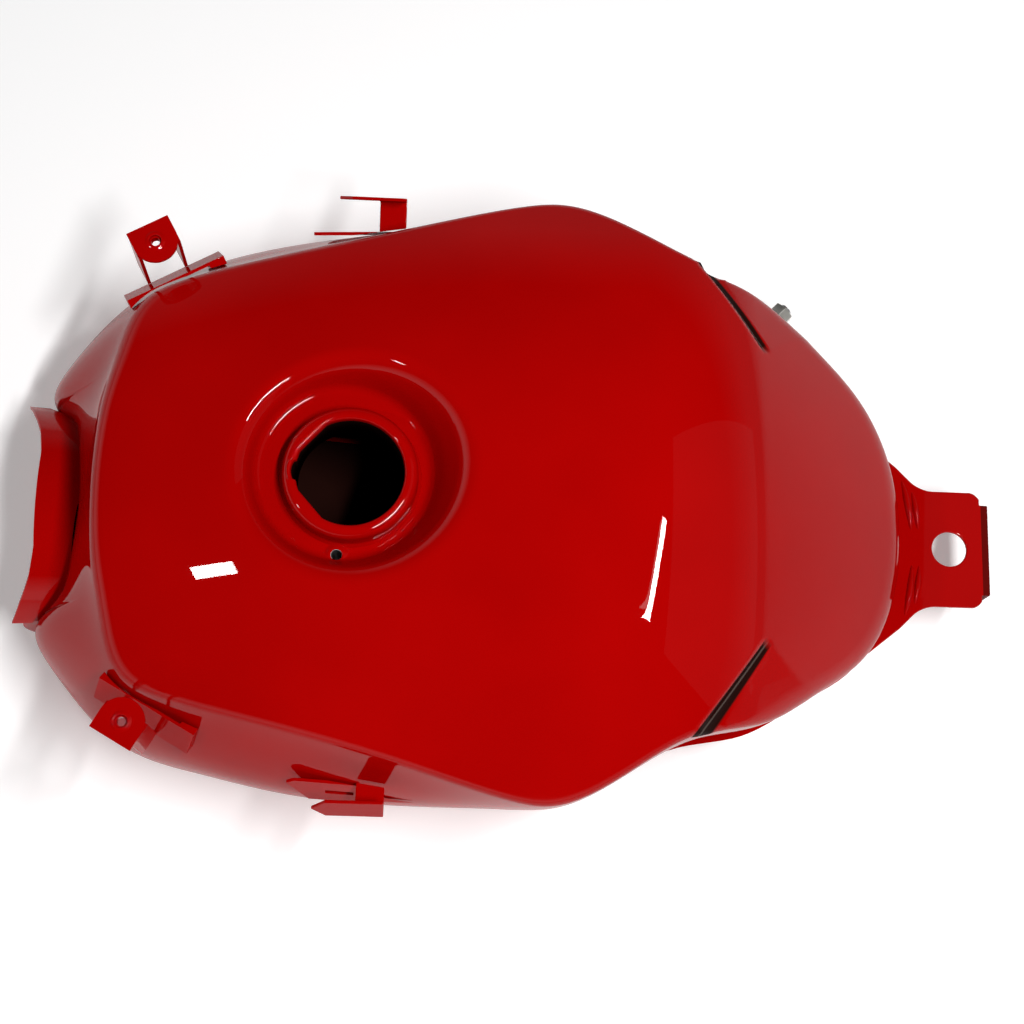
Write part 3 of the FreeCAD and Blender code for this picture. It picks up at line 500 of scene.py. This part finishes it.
def groove_paint_shade_and_highlight(tree):
    """Return how much of the groove's dark paint and painted shade shows, and how much of the painted
    highlight along the valley shows.
    """
    place = parts_of(tree, "Object")
    run = (GROOVE_END - GROOVE_START) * MM
    length = float(np.linalg.norm(run))
    dx = number(tree, "SUBTRACT", place["X"], float(GROOVE_START[0]) * MM)
    dy = number(tree, "ABSOLUTE", place["Y"])
    dy = number(tree, "SUBTRACT", dy, float(GROOVE_START[1]) * MM)
    along = number(tree, "MULTIPLY_ADD", dx, float(run[0]), number(tree, "MULTIPLY", dy, float(run[1])))
    along = number(tree, "DIVIDE", along, length ** 2)
    behind = number(tree, "MULTIPLY_ADD", dx, float(run[1]), number(tree, "MULTIPLY", dy, -float(run[0])))
    behind = number(tree, "DIVIDE", behind, length * MM)
    inner = number(tree, "MULTIPLY_ADD", along, GROOVE_AHEAD[1], GROOVE_AHEAD[0])
    outer = number(tree, "MULTIPLY_ADD", along, GROOVE_BEHIND[1], GROOVE_BEHIND[0])
    ahead_part = number(tree, "DIVIDE", number(tree, "MULTIPLY", behind, -1.0), inner)
    behind_part = number(tree, "DIVIDE", behind, outer)
    away = number(tree, "MAXIMUM", ahead_part, behind_part)
    tip = number(tree, "MULTIPLY_ADD", along, -14.0, 14.3)
    inside = number(tree, "MULTIPLY_ADD", away, -5.0, 4.6)
    dark_paint_and_shade = number(tree, "MINIMUM", inside, tip)
    mark = tree.nodes.new("ShaderNodeAttribute")
    mark.attribute_name = "on_top"
    dark_paint_and_shade = number(tree, "MULTIPLY", number(tree, "MAXIMUM", dark_paint_and_shade, 0.0), mark.outputs["Fac"])
    # the painted highlight: a thin light line along the groove's valley
    line = number(tree, "ABSOLUTE", number(tree, "SUBTRACT", behind, 0.3))
    line = number(tree, "MULTIPLY_ADD", line, -1.6, 1.1)
    return number(tree, "MINIMUM", dark_paint_and_shade, 1.0), number(tree, "MAXIMUM", line, 0.0)


def neck_bore_shade(tree):
    """Return 1 inside the filler neck's bore, which is painted near black as painted shade, and 0
    elsewhere.
    """
    place = parts_of(tree, "Object")
    dx = number(tree, "SUBTRACT", place["X"], NECK_X * MM)
    across = number(tree, "MULTIPLY", place["Y"], place["Y"])
    away = number(tree, "SQRT", number(tree, "MULTIPLY_ADD", dx, dx, across))
    near = number(tree, "LESS_THAN", away, BORE_SHADE_RADIUS * MM)
    low = number(tree, "LESS_THAN", place["Z"], BORE_SHADE_TOP * MM)
    return number(tree, "MULTIPLY", near, low)


def tunnel_inside_shade(tree):
    """Return 1 on the inner side of the tunnel's roof, which is painted near black as painted shade inside
    the tank, and 0 elsewhere.
    """
    place = parts_of(tree, "Object")
    normal = parts_of(tree, "Normal")
    high = number(tree, "GREATER_THAN", place["Z"], (SHELF_HEIGHT + 10) * MM)
    return number(tree, "MULTIPLY", high, number(tree, "GREATER_THAN", normal["Z"], 0.02))


def lip_painted_shade(tree):
    """Return how dark the painted shade on the folded lip behind the rear bracket's plate is, and 0
    elsewhere.
    """
    place = parts_of(tree, "Object")
    behind = number(tree, "LESS_THAN", place["X"], LIP_START * MM)
    return number(tree, "MULTIPLY", behind, LIP_SHADE)


def red_paint(name="red_paint", painted_shade=None):
    """Glossy red enamel with faint orange peel and uneven colour. Its grooves are painted dark, as dark
    paint and painted shade, with a painted highlight along the valley, and painted shade goes wherever a
    mask asks for it.
    """
    made, tree, shader = material(name, (0.36, 0.0005, 0.0005), 0, 0.5)
    shader.inputs["Specular IOR Level"].default_value = 0
    shader.inputs["Coat Roughness"].default_value = 0.015
    shader.inputs["Coat IOR"].default_value = 1.4
    cloud = noise(tree, 9)
    tone = ramp(tree, cloud.outputs["Fac"], 0.3, 0.7, (0.33, 0.0004, 0.0004, 1), (0.38, 0.0007, 0.0006, 1))
    dark_paint_and_shade, line = groove_paint_shade_and_highlight(tree)
    # painted shade: places given by the mask are painted near black
    if painted_shade:
        dark_paint_and_shade = number(tree, "MAXIMUM", dark_paint_and_shade, painted_shade(tree))
    # near black for the dark paint and painted shade, lighter brown-grey for the painted highlight along
    # the valley
    valley = ramp(tree, line, 0, 1, (0.014, 0.004, 0.003, 1), (0.09, 0.065, 0.055, 1))
    blend = tree.nodes.new("ShaderNodeMix")
    blend.data_type = "RGBA"
    tree.links.new(dark_paint_and_shade, blend.inputs["Factor"])
    tree.links.new(tone.outputs["Color"], blend.inputs["A"])
    tree.links.new(valley.outputs["Color"], blend.inputs["B"])
    tree.links.new(blend.outputs["Result"], shader.inputs["Base Color"])
    gloss = ramp(tree, dark_paint_and_shade, 0, 1, (0.5, 0.5, 0.5, 1), (0.04, 0.04, 0.04, 1))
    tree.links.new(gloss.outputs["Color"], shader.inputs["Coat Weight"])
    peel = noise(tree, 260, 2)
    bump(tree, shader, peel.outputs["Fac"], 0.04, 0.05)
    return made


def plain_finish(name, color, metallic, roughness, grain):
    """A finish with fine grain in its colour, roughness and height."""
    made, tree, shader = material(name, color, metallic, roughness)
    cloud = noise(tree, grain)
    dark = tuple(value * 0.75 for value in color)
    tone = ramp(tree, cloud.outputs["Fac"], 0.3, 0.7, (*dark, 1), (*color, 1))
    tree.links.new(tone.outputs["Color"], shader.inputs["Base Color"])
    smooth = (roughness * 0.8,) * 3 + (1,)
    coarse = (roughness * 1.2,) * 3 + (1,)
    rough = ramp(tree, cloud.outputs["Fac"], 0.3, 0.7, smooth, coarse)
    tree.links.new(rough.outputs["Color"], shader.inputs["Roughness"])
    bump(tree, shader, cloud.outputs["Fac"], 0.2, 0.1)
    return made


def lathe(name, profile, finish, columns, shape):
    """Turn a closed profile of (radius, height) round the filler neck, bent by a shape rule."""
    points = []
    for step in range(columns):
        angle = 2 * math.pi * step / columns
        for radius, height in profile:
            reach = shape(radius, height, angle)
            points.append((NECK_X + reach * math.cos(angle), reach * math.sin(angle), height))
    count = len(profile)
    faces = []
    for step in range(columns):
        after = (step + 1) % columns
        for row in range(count):
            below = (row + 1) % count
            faces.append((step * count + row, after * count + row,
                          after * count + below, step * count + below))
    piece = mesh_piece(name, points, faces)
    piece.data.materials.append(finish)
    return piece


def round_corner(corner, radius, start, end, steps=6):
    """Return the points of a round corner between two angles, in degrees."""
    made = []
    for step in range(steps + 1):
        angle = math.radians(start + (end - start) * step / steps)
        made.append((corner[0] + radius * math.cos(angle), corner[1] + radius * math.sin(angle)))
    return made


def neck_reach(radius, height, angle):
    """Return how far out a point of the neck's hole lies, with its two flats and latch notch."""
    if radius > NECK_HOLE + 3 or height < NECK_TOP - 6:
        return radius
    extra = radius - NECK_HOLE
    turn = abs(angle_from_front(angle))
    flat = min(NECK_HOLE, FLAT_REACH / max(math.cos(turn - FLAT_ANGLE), 0.5))
    side = abs(NECK_HOLE * math.sin(angle))
    if math.cos(angle) > 0 and side < NOTCH_HALF:
        return NOTCH_REACH - 1.2 * (side / NOTCH_HALF) ** 2 + extra
    return (flat if turn < FLAT_END else NECK_HOLE) + extra


def angle_from_front(angle):
    """Return an angle as a signed turn away from the front of the tank."""
    return (angle + math.pi) % (2 * math.pi) - math.pi


def neck_ring(finish):
    """The pressed neck: a rolled flange with a shaped hole, and the tube round it."""
    outer = NECK_OUTER
    profile = [(NECK_HOLE, NECK_BOTTOM), (NECK_HOLE, NECK_TOP - 4)]
    profile += round_corner((NECK_HOLE + 2, NECK_TOP - 2), 2, 180, 90)
    profile += round_corner((outer - 5, NECK_TOP - 5), 5, 90, 0)
    profile += [(outer, FLOOR_Z + 2.5), (outer + 0.5, FLOOR_Z + 0.6), (outer + 2, FLOOR_Z + 0.1),
                (outer + 2, FLOOR_Z - 1), (outer - 1.5, FLOOR_Z - 1), (outer - 1.5, NECK_TOP - 6),
                (NECK_HOLE + 1.5, NECK_TOP - 3), (NECK_HOLE + 1.5, NECK_BOTTOM)]
    piece = lathe("neck_ring", profile, finish, NECK_COLUMNS, neck_reach)
    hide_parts("filler_neck")


def round_uprights(form, radius, reaches):
    """Round the plate corners whose short upright edges lie between two places along the tank."""
    corners = []
    for edge in form.edges:
        first, second = (vertex.co for vertex in edge.verts)
        upright = math.hypot(first.x - second.x, first.y - second.y) < 0.01 * MM
        short = edge.calc_length() < UPRIGHT_MAX * MM
        sharp = len(edge.link_faces) == 2 and edge.calc_face_angle(0) > math.radians(18)
        if upright and short and sharp and reaches[0] * MM < first.x < reaches[1] * MM:
            corners.append(edge)
    bmesh.ops.bevel(form, geom=corners, offset=radius * MM, segments=6, profile=0.5, affect="EDGES",
                    clamp_overlap=True)


def bevelled(node, finish, width, body="tank", corners=()):
    """Replace a CAD node by the same shape with rounded edges and rounded plate corners."""
    mesh = frame["nodes"][node].data.copy()
    form = bmesh.new()
    form.from_mesh(mesh)
    bmesh.ops.remove_doubles(form, verts=form.verts, dist=0.001 * MM)
    bmesh.ops.dissolve_limit(form, angle_limit=math.radians(0.5), verts=form.verts, edges=form.edges)
    for radius, reaches in corners:
        round_uprights(form, radius, reaches)
    form.to_mesh(mesh)
    form.free()
    mesh.materials.clear()
    mesh.materials.append(finish)
    mesh.polygons.foreach_set("use_smooth", [True] * len(mesh.polygons))
    piece = bpy.data.objects.new("round_" + node, mesh)
    bpy.context.collection.objects.link(piece)
    edges = piece.modifiers.new("edges", "BEVEL")
    edges.width = width * MM
    edges.segments = 3
    edges.limit_method = "ANGLE"
    edges.angle_limit = math.radians(35)
    flat = piece.modifiers.new("flat_faces", "WEIGHTED_NORMAL")
    flat.weight = 100
    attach(piece, body)
    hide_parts(node)


# CAD nodes shown with rounded edges: node, edge radius in millimetres and body
ROUNDED = {
    "rear_mount_bracket": (0.9, "tank"),
    "cowl_strap_left": (0.6, "tank"),
    "cowl_strap_right": (0.6, "tank"),
    "cowl_bracket_left": (0.6, "tank"),
    "cowl_bracket_right": (0.6, "tank"),
    "hook_base_left": (0.6, "tank"),
    "hook_base_right": (0.6, "tank"),
    "hook_arm_left": (0.6, "tank"),
    "hook_arm_right": (0.6, "tank"),
    "front_guide_left": (0.5, "tank"),
    "front_guide_right": (0.5, "tank"),
    "tap_body": (0.6, "tank"),
    "tap_lever": (0.6, "lever"),
    "union_nut": (0.5, "tank"),
}

# the folded lip of the rear bracket, and how dark its painted shade is
LIP_START = -295.6
LIP_SHADE = 0.72

# the beads of the rear bracket: distance from the tail's outline, and their reach to each side
BEADS = ((19.5, 10, 44), (24, 9, 38))
BEAD_HALF_WIDTH = 2.1
BEAD_HEIGHT = 3
BEAD_RUN_OUT = 6
BEAD_STEPS = 8

# the collars round the holes of the front brackets: radius and height above the plate
COLLAR = ((3.3, -0.4), (3.4, 0.4), (3.9, 0.8), (4.6, 0.7), (5.4, 0.2), (6.2, -0.1))
COLLAR_COLUMNS = 48

# plate corners to round: radius and the stretch along the tank where they lie, and the length
# that an upright edge of a plate stays under
UPRIGHT_MAX = 3.5
CORNERS = {
    "rear_mount_bracket": ((8, (-262, -200)), (2.4, (-293, -262))),
    "cowl_bracket_left": ((2.5, (150, 300)),),
    "cowl_bracket_right": ((2.5, (150, 300)),),
}


def round_brackets(finishes):
    """Show the brackets and the tap with rounded edges."""
    slots = {part["node"]: part["material_slot"] for part in frame["record"]["subparts"]}
    for node, (width, body) in ROUNDED.items():
        # the rear bracket gets red paint with painted shade on its folded lip
        finish = finishes["shaded_lip" if node == "rear_mount_bracket" else slots[node]]
        bevelled(node, finish, width, body, CORNERS.get(node, ()))


def tail_beads(finish):
    """The pressed beads of the rear bracket, which follow the tail of the tank."""
    outline = Wall().at(SHELF_HEIGHT)
    along = np.roll(outline, -1, axis=0) - np.roll(outline, 1, axis=0)
    outward = unit(np.column_stack((along[:, 1], -along[:, 0])))
    for side, word in ((1, "left"), (-1, "right")):
        for order, (away, near, far) in enumerate(BEADS):
            spots = outline + outward * away
            reach = side * spots[:, 1]
            chosen = (spots[:, 0] < -150) & (reach > near) & (reach < far)
            bead(f"tail_bead_{word}_{order}", spots[chosen], outward[chosen], finish)


def bead(name, spine, across, finish):
    """A low rounded ridge along a line on the rear bracket, with its ends run out to nothing."""
    points = []
    count = len(spine)
    for index in range(count):
        fade = math.sqrt(min(1, index / BEAD_RUN_OUT, (count - 1 - index) / BEAD_RUN_OUT))
        for step in range(BEAD_STEPS + 1):
            angle = math.pi * step / BEAD_STEPS
            shift = across[index] * (BEAD_HALF_WIDTH * math.cos(angle) * max(fade, 0.05))
            height = SHELF_HEIGHT - 0.3 + BEAD_HEIGHT * math.sin(angle) * fade
            points.append((*(spine[index] + shift), height))
    faces = []
    row = BEAD_STEPS + 1
    for index in range(count - 1):
        for step in range(BEAD_STEPS):
            first = index * row + step
            faces.append((first, first + 1, first + row + 1, first + row))
    piece = mesh_piece(name, points, faces)
    piece.data.materials.append(finish)


def nut_collars(finish):
    """The raised collars round the holes of the front brackets."""
    for side in ("left", "right"):
        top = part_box(f"cowl_bracket_{side}")[1][2] / MM
        low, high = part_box(f"cowl_nut_{side}")
        x = (low[0] + high[0]) / 2 / MM
        y = (low[1] + high[1]) / 2 / MM
        points = []
        for step in range(COLLAR_COLUMNS):
            angle = 2 * math.pi * step / COLLAR_COLUMNS
            for radius, rise in COLLAR:
                points.append((x + radius * math.cos(angle), y + radius * math.sin(angle), top + rise))
        faces = []
        row = len(COLLAR)
        for step in range(COLLAR_COLUMNS):
            here = step * row
            after = (step + 1) % COLLAR_COLUMNS * row
            for spot in range(row - 1):
                faces.append((here + spot, here + spot + 1, after + spot + 1, after + spot))
        piece = mesh_piece(f"nut_collar_{side}", points, faces)
        piece.data.materials.append(finish)


def dress_cad_nodes(finishes):
    """Give every CAD node that is still shown the finish of its material slot."""
    for part in frame["record"]["subparts"]:
        item = frame["nodes"][part["node"]]
        painted_over = part["node"].startswith("cowl_nut")
        finish = finishes["red_paint" if painted_over else part["material_slot"]]
        # the lower shell's red paint has painted shade on the inner side of its tunnel roof
        if part["node"] == "lower_shell":
            finish = finishes["lower_paint_inner_shade"]
        for place in item.material_slots:
            place.link = "OBJECT"
            place.material = finish


# the camera, as measured from the photograph's perspective
CAMERA_PLACE = Vector((61.2, 264, 1222)) * MM
CAMERA_TILT = math.radians(13.48)
CAMERA_PAN = math.radians(3.01)
CAMERA_ROLL = math.radians(-1.41)
CAMERA_LENS = 67.3


def camera():
    """The camera above the tank's left side, with the front of the tank to the left of the view."""
    turn = Matrix.Rotation(CAMERA_PAN, 3, "Y") @ Matrix.Rotation(-CAMERA_TILT, 3, "X")
    across = turn @ Vector((-1, 0, 0))
    down = turn @ Vector((0, 1, 0))
    right = across * math.cos(CAMERA_ROLL) + down * math.sin(CAMERA_ROLL)
    up = across * math.sin(CAMERA_ROLL) - down * math.cos(CAMERA_ROLL)
    back = turn @ Vector((0, 0, 1))
    data = bpy.data.cameras.new("camera")
    data.lens = CAMERA_LENS
    data.sensor_width = 36
    data.clip_start = 0.01
    item = bpy.data.objects.new("camera", data)
    axes = Matrix((right, up, back)).transposed()
    item.matrix_world = Matrix.Translation(CAMERA_PLACE) @ axes.to_4x4()
    bpy.context.collection.objects.link(item)
    bpy.context.scene.camera = item


def area_light(name, place, target, along, width, length, power):
    """A soft rectangular light that faces a target, with its length along a direction."""
    data = bpy.data.lights.new(name, "AREA")
    data.shape = "RECTANGLE"
    data.size = width
    data.size_y = length
    data.energy = power
    item = bpy.data.objects.new(name, data)
    back = (Vector(place) - Vector(target)).normalized()
    across = Vector(along).cross(back).normalized()
    axes = Matrix((across, back.cross(across), back)).transposed()
    item.matrix_world = Matrix.Translation(place) @ axes.to_4x4()
    bpy.context.collection.objects.link(item)


# the floor's half width in metres, its own faint glow, and the strength of the light round the horizon
FLOOR_HALF = 2.6
FLOOR_GLOW = 0.25
HORIZON_LIGHT = 1.3

# softboxes: name, place, target, direction of the long side, width, length and power
SOFTBOXES = [
    ("strip", (-0.38, 0.26, 1.61), (-0.06, 0.05, 0.22), (0.3, 0.8, -0.1), 0.07, 0.7, 24),
    ("glow", (-0.34, 0.24, 1.62), (-0.06, 0.05, 0.22), (0.3, 0.8, -0.1), 0.04, 0.6, 0.4),
    ("window", (1.01, 0.27, 1.41), (0.17, 0.06, 0.19), (-0.82, -0.2, 0.57), 0.08, 0.13, 2.6),
    ("rear_wall", (-1.35, 0.1, 1.1), (-0.1, 0, 0.15), (0.62, 0, 0.78), 1.8, 2.0, 2.2),
]


def studio():
    """The pale floor and the soft studio light."""
    mesh = bpy.data.meshes.new("floor")
    half = FLOOR_HALF
    level = -0.2 * MM
    corners = [(-half, -half, level), (half, -half, level), (half, half, level), (-half, half, level)]
    mesh.from_pydata(corners, [], [(0, 1, 2, 3)])
    floor = bpy.data.objects.new("floor", mesh)
    bpy.context.collection.objects.link(floor)
    made, _, shader = material("floor_white", (0.92, 0.92, 0.92), 0, 0.8)
    shader.inputs["Emission Color"].default_value = (1, 1, 1, 1)
    shader.inputs["Emission Strength"].default_value = FLOOR_GLOW
    floor.data.materials.append(made)
    horizon_light()
    for box in SOFTBOXES:
        area_light(*box)
    bpy.context.scene.view_settings.view_transform = "Standard"


def horizon_light():
    """Light from all round, dark overhead and dimmer behind the tank and on its right."""
    world = bpy.data.worlds.new("studio")
    world.use_nodes = True
    tree = world.node_tree
    place = parts_of(tree, "Generated")
    sky = ramp(tree, place["Z"], 0.12, 0.44, (1, 1, 1, 1), (0.008, 0.008, 0.008, 1))
    forward = number(tree, "MULTIPLY_ADD", place["X"], 0.5, 0.5)
    facing = number(tree, "MULTIPLY_ADD", place["Y"], 0.35, forward)
    side = ramp(tree, facing, 0.3, 0.9, (0.2, 0.2, 0.2, 1), (1, 1, 1, 1))
    both = tree.nodes.new("ShaderNodeMix")
    both.data_type = "RGBA"
    both.blend_type = "MULTIPLY"
    both.inputs["Factor"].default_value = 1
    tree.links.new(sky.outputs["Color"], both.inputs["A"])
    tree.links.new(side.outputs["Color"], both.inputs["B"])
    background = tree.nodes["Background"]
    tree.links.new(both.outputs["Result"], background.inputs["Color"])
    background.inputs["Strength"].default_value = HORIZON_LIGHT
    bpy.context.scene.world = world


paint = red_paint()
finishes = {
    "red_paint": paint,
    # red paint with painted shade inside the tank, over the tunnel roof
    "lower_paint_inner_shade": red_paint("lower_paint_inner_shade", tunnel_inside_shade),
    # red paint with painted shade on the rear bracket's folded lip
    "shaded_lip": red_paint("shaded_lip", lip_painted_shade),
    "steel": plain_finish("steel", (0.5, 0.5, 0.5), 1, 0.35, 90),
    "zinc": plain_finish("zinc", (0.66, 0.65, 0.6), 1, 0.38, 120),
    "cast_aluminium": plain_finish("cast_aluminium", (0.55, 0.55, 0.55), 1, 0.5, 200),
    "brass": plain_finish("brass", (0.7, 0.48, 0.2), 1, 0.3, 90),
    "strainer_mesh": plain_finish("strainer_mesh", (0.7, 0.67, 0.55), 0, 0.6, 600),
    "rubber": plain_finish("rubber", (0.02, 0.02, 0.02), 0, 0.7, 200),
    "black_plastic": plain_finish("black_plastic", (0.02, 0.02, 0.022), 0, 0.45, 200),
}
dress_cad_nodes(finishes)
painted_shell(paint)
# the neck's red paint has painted shade in its bore
neck_ring(red_paint("neck_paint_bore_shade", neck_bore_shade))
round_brackets(finishes)
tail_beads(paint)
nut_collars(paint)
camera()
studio()
